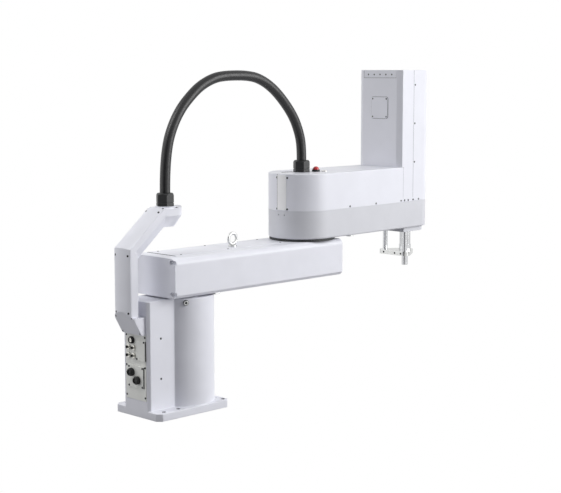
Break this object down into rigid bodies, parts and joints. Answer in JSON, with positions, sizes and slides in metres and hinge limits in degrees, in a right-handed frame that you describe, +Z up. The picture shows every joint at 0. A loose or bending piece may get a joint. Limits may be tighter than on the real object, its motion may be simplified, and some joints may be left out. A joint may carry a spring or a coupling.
{
  "type": "scara robot",
  "caption": "Bench-mounted SCARA robot: column with cable duct, two horizontal arms under an arching hose, tall Z tower, guided tool shaft.",
  "frame": {"origin": "on the joint 1 axis, at the underside of the base flange", "axes": "+X from joint 1 along both arms to the tool shaft, +Z up along every joint axis"},
  "size_m": [1.258, 0.2092, 0.973],
  "materials": {
    "white_paint": "satin powder coat",
    "grey_paint": "satin powder coat on a casting",
    "panel_aluminium": "brushed sheet",
    "machined_aluminium": "machined",
    "bright_steel": "ground",
    "nickel_plate": "nickel plated",
    "screw_steel": "black oxide",
    "eye_bolt_steel": "zinc plated",
    "black_plastic": "moulded",
    "hose_rubber": "matt ribbed hose",
    "red_plastic": "gloss",
    "dark_cast_iron": "phosphated",
    "motor_black": "satin paint",
    "belt_rubber": "matt",
    "bushing_brass": "machined"
  },
  "bodies": {
    "base": {"base_casting": "white_paint", "base_screws": "screw_steel", "connector_panel": "panel_aluminium", "upper_subplate": "panel_aluminium", "lower_subplate": "panel_aluminium", "power_connectors": "black_plastic", "signal_connector": "black_plastic", "air_fittings": "nickel_plate", "j1_stop_bolt": "screw_steel", "j1_reducer": "dark_cast_iron", "j1_motor": "motor_black", "duct_body": "white_paint", "duct_foot": "white_paint", "duct_rear_cover": "white_paint", "duct_gland_plate": "white_paint", "duct_screws": "screw_steel", "base_gland": "black_plastic"},
    "arm_1": {"arm_1_beam": "white_paint", "arm_1_rear_cap": "white_paint", "arm_1_front_cap": "white_paint", "arm_1_top_cover": "white_paint", "arm_1_screws": "screw_steel", "eye_bolt": "eye_bolt_steel", "j1_output_flange": "bright_steel", "j1_stop": "screw_steel", "j2_reducer": "dark_cast_iron", "hose_lower": "hose_rubber", "hose_upper": "hose_rubber"},
    "arm_2": {"arm_2_casting": "grey_paint", "arm_2_cover": "white_paint", "arm_2_access_strip": "white_paint", "arm_2_screws": "screw_steel", "arm_gland": "black_plastic", "button_bezel": "black_plastic", "top_port": "black_plastic", "j2_stop_pin": "screw_steel", "j2_motor": "motor_black", "tower_rear_cover": "white_paint", "tower_front_cover": "white_paint", "tower_cap": "white_paint", "tower_hatch": "white_paint", "tower_base_plate": "grey_paint", "tower_top_bracket": "machined_aluminium", "rod_bushings": "bushing_brass", "z_motor": "motor_black", "z_belt": "belt_rubber", "screw_bearing": "bright_steel", "j4_motor_bracket": "machined_aluminium", "j4_motor": "motor_black", "j4_belt": "belt_rubber"},
    "ball_screw": {"ball_screw": "bright_steel"},
    "spline_nut": {"spline_nut": "bright_steel"},
    "brake_button": {"brake_button": "red_plastic"},
    "z_carriage": {"link_plate": "machined_aluminium", "clamp_screws": "screw_steel", "guide_rods": "bright_steel", "carriage_block": "machined_aluminium", "ball_nut": "bright_steel"},
    "output": {"tool_shaft": "bright_steel", "shaft_collar": "bright_steel"}
  },
  "joints": [
    {"name": "j1", "type": "hinge", "parent": "base", "child": "arm_1", "pos_m": [0, 0, 0.3335], "axis": [0, 0, 1], "range_deg": [-130, 130], "deforming": ["hose_lower"]},
    {"name": "j2", "type": "hinge", "parent": "arm_1", "child": "arm_2", "pos_m": [0.5, 0, 0.4588], "axis": [0, 0, 1], "range_deg": [-130, 130], "deforming": ["hose_upper"]},
    {"name": "z", "type": "slide", "parent": "arm_2", "child": "z_carriage", "axis": [0, 0, -1], "range_m": [0, 0.4]},
    {"name": "j4", "type": "hinge", "parent": "z_carriage", "child": "output", "pos_m": [1, 0, 0.373], "axis": [0, 0, 1], "range_deg": [-360, 360]},
    {"name": "spline_nut_turn", "type": "hinge", "parent": "arm_2", "child": "spline_nut", "pos_m": [1, 0, 0.4588], "axis": [0, 0, 1], "range_deg": [-360, 360]},
    {"name": "ball_screw_turn", "type": "hinge", "parent": "arm_2", "child": "ball_screw", "pos_m": [0.95, 0, 0.4708], "axis": [0, 0, 1], "range_deg": [-10, 7210]},
    {"name": "brake_release", "type": "slide", "parent": "arm_2", "child": "brake_button", "axis": [0, 0, -1], "range_m": [0, 0.003], "stiffness_N_per_m": 800, "springref_m": -0.002}
  ],
  "couplings": [
    {"joint": "spline_nut_turn", "follows": "j4", "ratio": 1},
    {"joint": "ball_screw_turn", "follows": "z", "rad_per_m": 314.16}
  ]
}
